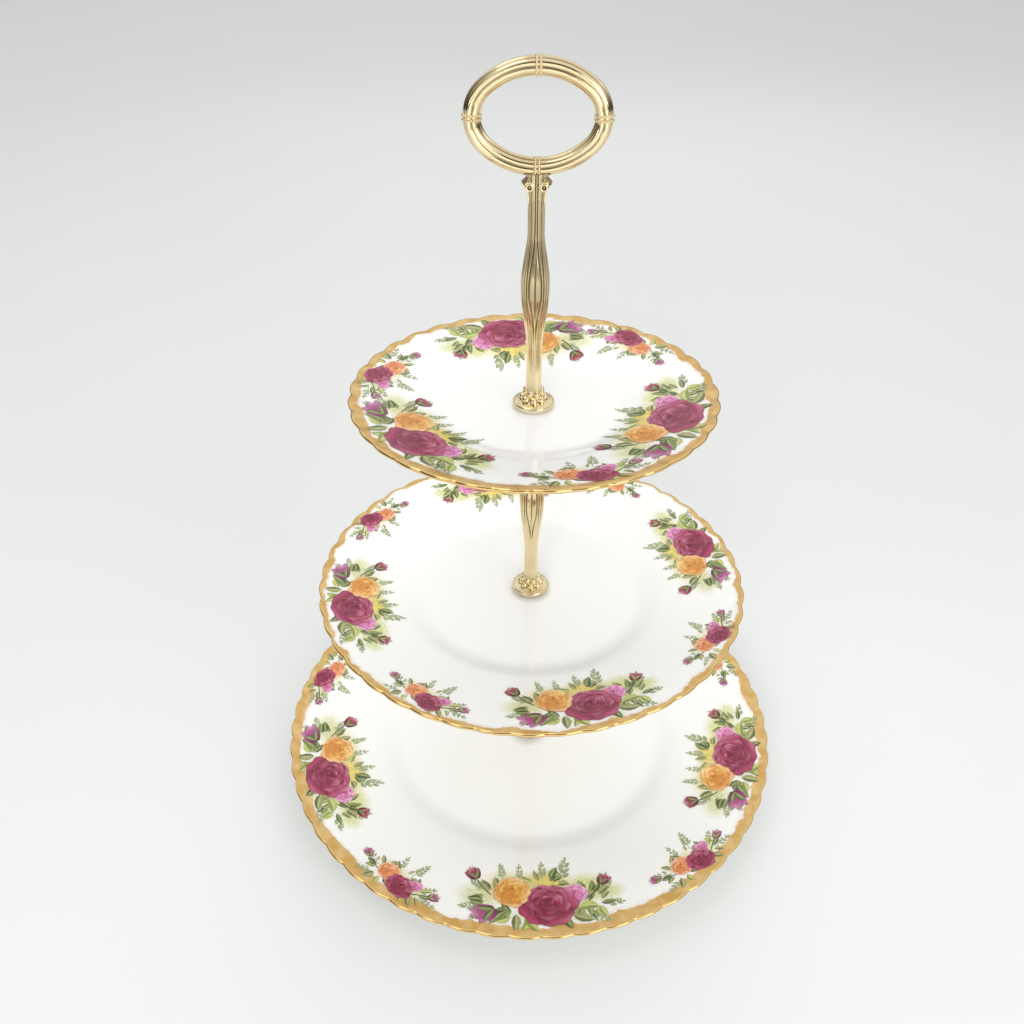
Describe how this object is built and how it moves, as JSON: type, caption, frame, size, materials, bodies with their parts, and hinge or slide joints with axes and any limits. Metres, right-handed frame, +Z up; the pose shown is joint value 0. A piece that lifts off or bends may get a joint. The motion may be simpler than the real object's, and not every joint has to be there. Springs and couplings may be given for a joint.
{
  "type": "tiered cake stand",
  "caption": "Tiered stand of scalloped china plates with rose sprays, clamped on a gilt centre column under an oval ring handle.",
  "frame": {"origin": "on the table, under the centre of the bottom plate", "axes": "+Z up along the column; +X across the face of the oval ring handle; +Y through the ring, away from the front"},
  "size_m": [0.267, 0.267, 0.3587],
  "materials": {
    "china": "glossy white glaze with gilt scalloped rims and rose sprays",
    "gilt": "polished gilt casting",
    "gilt_sheet": "gilt washers",
    "steel": "zinc-plated steel",
    "soft_pad": "translucent soft pad",
    "nylon": "natural nylon"
  },
  "bodies": {
    "base": {"bottom_plate": "china", "bottom_bush": "nylon", "bottom_lower_pad": "soft_pad", "bottom_upper_pad": "soft_pad"},
    "column": {"lower_column": "gilt", "middle_column": "gilt", "lower_stud": "steel", "middle_stud": "steel", "base_screw": "steel", "base_washer": "gilt_sheet", "middle_washer": "gilt_sheet", "top_washer": "gilt_sheet"},
    "middle_tier": {"middle_plate": "china", "middle_bush": "nylon", "middle_lower_pad": "soft_pad", "middle_upper_pad": "soft_pad"},
    "top_tier": {"top_plate": "china", "top_bush": "nylon", "top_lower_pad": "soft_pad"},
    "handle_pad": {"top_upper_pad": "soft_pad"},
    "handle": {"handle": "gilt"}
  },
  "joints": [
    {"name": "column_turn", "type": "hinge", "parent": "base", "child": "column", "pos_m": [0, 0, 0.0106], "axis": [0, 0, 1], "continuous": true},
    {"name": "middle_plate_turn", "type": "hinge", "parent": "column", "child": "middle_tier", "pos_m": [0, 0, 0.1116], "axis": [0, 0, 1], "continuous": true},
    {"name": "top_plate_turn", "type": "hinge", "parent": "column", "child": "top_tier", "pos_m": [0, 0, 0.2171], "axis": [0, 0, 1], "continuous": true},
    {"name": "handle_rise", "type": "slide", "parent": "column", "child": "handle_pad", "axis": [0, 0, 1], "range_m": [0, 0.008]},
    {"name": "handle_unscrew", "type": "hinge", "parent": "handle_pad", "child": "handle", "pos_m": [0, 0, 0.2213], "axis": [0, 0, 1], "range_deg": [0, 3600]}
  ],
  "couplings": [
    {"joint": "handle_unscrew", "follows": "handle_rise", "rad_per_m": 7854}
  ]
}
